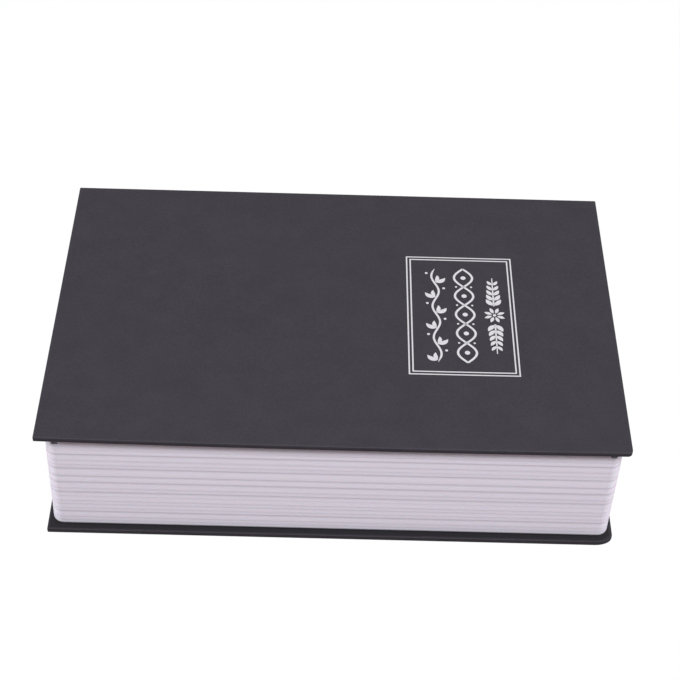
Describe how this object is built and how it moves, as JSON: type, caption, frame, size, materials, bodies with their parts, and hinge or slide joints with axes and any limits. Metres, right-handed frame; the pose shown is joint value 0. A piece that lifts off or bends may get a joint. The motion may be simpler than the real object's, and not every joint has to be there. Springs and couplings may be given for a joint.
{
  "type": "book diversion safe",
  "caption": "Hardback book hiding a steel box: board case, moulded page block, hinged steel lid with a key cam lock.",
  "frame": {"origin": "on the surface the closed book lies on, under the middle of the covers", "axes": "+X along the book's height, tail to head; +Y from the fore-edge to the spine; +Z from the back cover up to the front cover"},
  "size_m": [0.24, 0.156, 0.0592],
  "materials": {
    "cover_sheet": "matt charcoal leatherette paper with a very fine grain",
    "grey_board": "raw grey binder's board",
    "lining_paper": "uncoated off-white endpaper",
    "page_plastic": "faintly lilac white, moulded grooves like page edges",
    "black_steel": "black powder coat, fine texture",
    "zinc_steel": "bright zinc plate",
    "lock_chrome": "nickel-chrome plate"
  },
  "bodies": {
    "root": {"back_cover_wrap": "cover_sheet", "back_board": "grey_board", "back_endpaper": "lining_paper", "spine_wrap": "cover_sheet", "spine_board": "grey_board", "spine_lining": "lining_paper", "front_joint": "cover_sheet", "page_frame": "page_plastic", "steel_tray": "black_steel", "tray_screw_1": "zinc_steel", "tray_screw_2": "zinc_steel", "tray_screw_3": "zinc_steel", "tray_screw_4": "zinc_steel", "strike_bracket": "zinc_steel", "left_hinge_fixed_leaf": "black_steel", "right_hinge_fixed_leaf": "black_steel", "left_hinge_pin": "zinc_steel", "right_hinge_pin": "zinc_steel"},
    "front_cover": {"front_cover_wrap": "cover_sheet", "front_board": "grey_board", "front_endpaper": "lining_paper"},
    "lid": {"steel_lid": "black_steel", "left_hinge_moving_leaf": "black_steel", "right_hinge_moving_leaf": "black_steel", "lock_body": "lock_chrome", "lock_washer": "zinc_steel", "lock_nut": "zinc_steel"},
    "lock_core": {"lock_plug": "lock_chrome", "lock_cam": "zinc_steel", "cam_washer": "zinc_steel", "cam_screw": "zinc_steel"}
  },
  "joints": [
    {"name": "cover_hinge", "type": "hinge", "parent": "root", "child": "front_cover", "pos_m": [0, 0.0781, 0.0567], "axis": [-1, 0, 0], "range_deg": [0, 180], "deforming": ["front_joint"]},
    {"name": "lid_hinge", "type": "hinge", "parent": "root", "child": "lid", "pos_m": [0, 0.0596, 0.05435], "axis": [-1, 0, 0], "range_deg": [0, 105]},
    {"name": "lock_turn", "type": "hinge", "parent": "lid", "child": "lock_core", "pos_m": [0, -0.0454, 0.05345], "axis": [0, 0, 1], "range_deg": [0, 90]}
  ],
  "couplings": [
    {"joint": "lid_hinge", "follows": "cover_hinge", "ratio": 0.58333}
  ]
}
